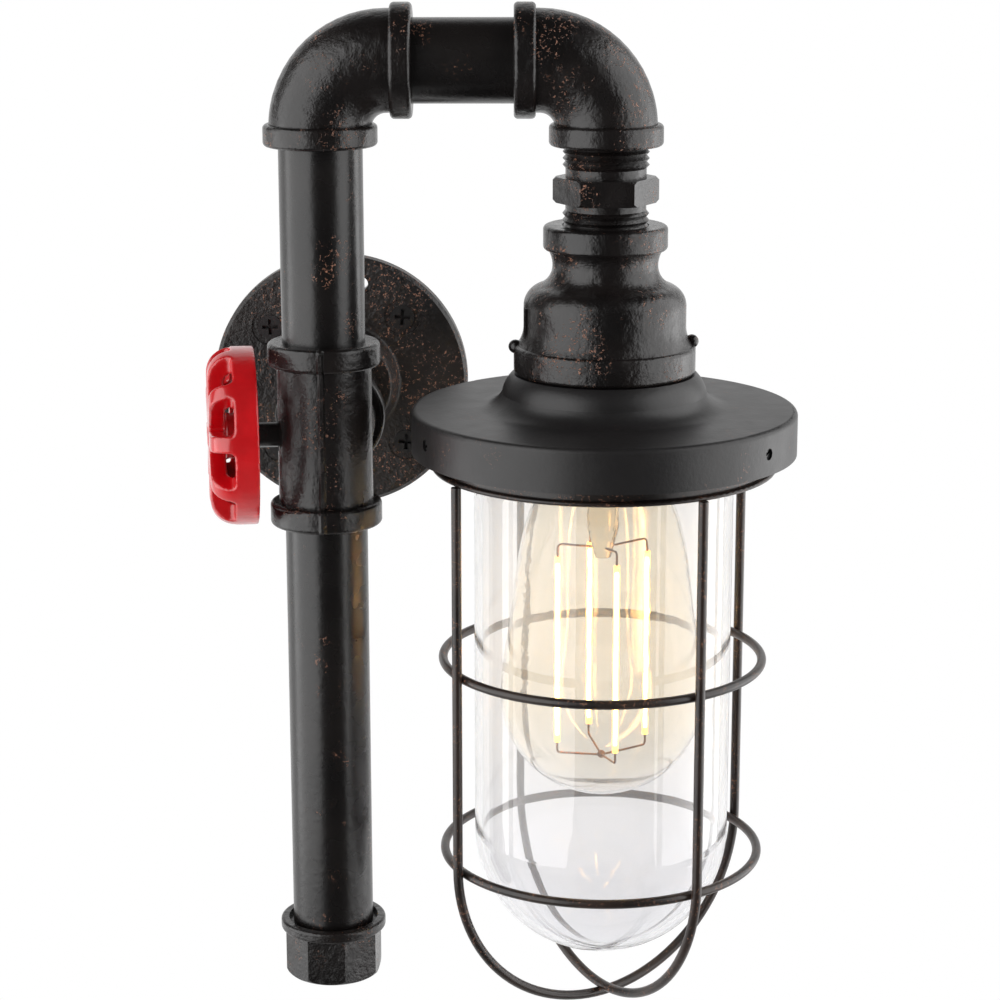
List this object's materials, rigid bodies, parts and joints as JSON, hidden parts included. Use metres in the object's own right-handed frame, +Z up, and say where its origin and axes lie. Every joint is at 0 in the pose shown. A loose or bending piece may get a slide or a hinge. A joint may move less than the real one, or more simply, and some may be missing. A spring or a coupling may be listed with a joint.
{
  "type": "industrial pipe wall light",
  "caption": "Wall light of threaded black pipe: a round wall flange, a tee with a red handwheel and a hooked-over arm that carries a caged glass jar lamp.",
  "frame": {"origin": "centre of the wall flange's back face, on the wall", "axes": "+X to the right seen from the room, +Y into the wall, +Z up"},
  "size_m": [0.1871, 0.1447, 0.3169],
  "materials": {
    "cast_black": "semi-gloss black-brown paint over a cast skin, with copper-brown speckle",
    "tube_black": "satin black-brown paint on steel tube, with fine copper-brown speckle",
    "cap_black": "satin-matte black-brown paint on spun steel sheet",
    "screw_black": "matte black",
    "wire_black": "black-brown paint worn to copper along the wire",
    "wheel_red": "gloss red enamel",
    "zinc": "bright zinc plate",
    "brass": "plain rolled brass",
    "nickel": "nickel-plated rolled sheet",
    "holder_plastic": "moulded phenolic plastic",
    "terminal_plastic": "moulded white plastic",
    "sheath": "smooth cable sheath",
    "jar_clear": "clear pressed glass",
    "bulb_clear": "clear blown glass",
    "filament": "warm phosphor coating on filament strips",
    "gasket": "plain rubber"
  },
  "bodies": {
    "fixed": {"wall_flange": "cast_black", "wall_plate": "zinc", "flange_screws": "screw_black", "earth_screw": "zinc", "terminal_block": "terminal_plastic", "terminal_screws": "zinc", "lamp_lead": "sheath", "wall_nipple": "tube_black", "tee": "cast_black", "upper_tube": "tube_black", "lower_tube": "tube_black", "end_cap": "cast_black", "left_elbow": "cast_black", "top_tube": "tube_black", "right_elbow": "cast_black", "hex_nipple": "cast_black", "bell_reducer": "cast_black", "lamp_cap": "cap_black", "cap_screws": "zinc", "lamp_holder": "holder_plastic", "holder_base": "holder_plastic", "holder_shell": "brass", "holder_contact": "brass", "holder_stud": "zinc", "stud_nuts": "zinc", "holder_ring": "holder_plastic", "spindle_bush": "brass"},
    "cage": {"jar_glass": "jar_clear", "jar_rim": "jar_clear", "jar_gasket": "gasket", "jar_collar": "wire_black", "cage_hoop_low": "wire_black", "cage_hoop_high": "wire_black", "cage_middle_ring": "wire_black", "cage_lower_ring": "wire_black"},
    "bulb": {"bulb_envelope": "bulb_clear", "bulb_screw_cap": "nickel", "bulb_insulator": "holder_plastic", "bulb_contact": "brass", "bulb_stem": "bulb_clear", "bulb_filaments": "filament", "bulb_wires": "zinc"},
    "wheel": {"handwheel": "wheel_red", "wheel_spindle": "tube_black", "wheel_nut": "wheel_red", "spindle_clip": "zinc"}
  },
  "joints": [
    {"name": "wheel_turn", "type": "hinge", "parent": "fixed", "child": "wheel", "pos_m": [0, -0.0856, -0.0002], "axis": [0.9903, 0.1392, 0], "continuous": true},
    {"name": "cage_drop", "type": "slide", "parent": "fixed", "child": "cage", "axis": [0, 0, -1], "range_m": [0, 0.15]},
    {"name": "bulb_unscrew", "type": "slide", "parent": "fixed", "child": "bulb", "axis": [0, 0, -1], "range_m": [0, 0.028]}
  ]
}
